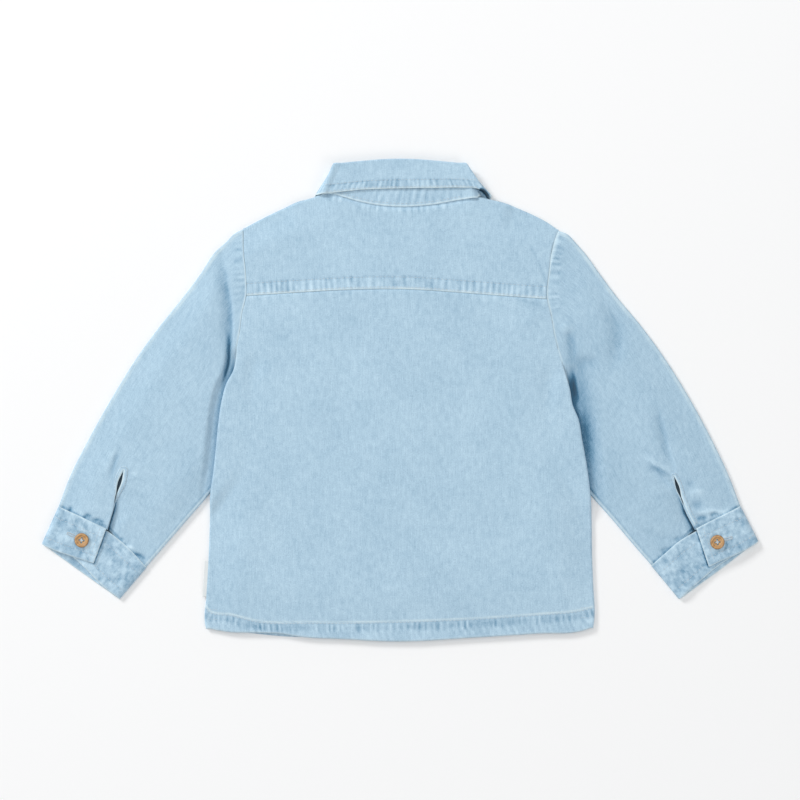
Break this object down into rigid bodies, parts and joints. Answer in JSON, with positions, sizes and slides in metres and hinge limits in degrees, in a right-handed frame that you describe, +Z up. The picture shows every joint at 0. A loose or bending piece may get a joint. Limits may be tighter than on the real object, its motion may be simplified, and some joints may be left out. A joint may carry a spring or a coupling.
{
  "type": "denim shirt",
  "caption": "Small child's long-sleeved denim shirt with yoke, folded collar and buttoned cuffs, lying face down and flat.",
  "frame": {"origin": "centre of the shirt's outline, on the surface it lies on", "axes": "+X towards the right sleeve as seen from behind, +Y towards the collar, +Z up out of the back"},
  "size_m": [0.5742, 0.3863, 0.0078],
  "materials": {
    "denim": "washed light blue twill",
    "thread": "pale blue-grey sewing thread",
    "wood": "satin",
    "label": "plain white woven tape"
  },
  "bodies": {
    "root": {"back_body": "denim", "back_yoke": "denim", "front_left": "denim", "front_right": "denim", "collar": "denim", "collar_stand": "denim", "sleeve_left": "denim", "sleeve_right": "denim", "sleeve_binding_left": "denim", "sleeve_binding_right": "denim", "cuff_left": "denim", "cuff_right": "denim", "cuff_button_left": "wood", "cuff_button_right": "wood", "front_button_1": "wood", "front_button_2": "wood", "front_button_3": "wood", "front_button_4": "wood", "front_button_5": "wood", "front_button_6": "wood", "side_label": "label"}
  },
  "joints": []
}
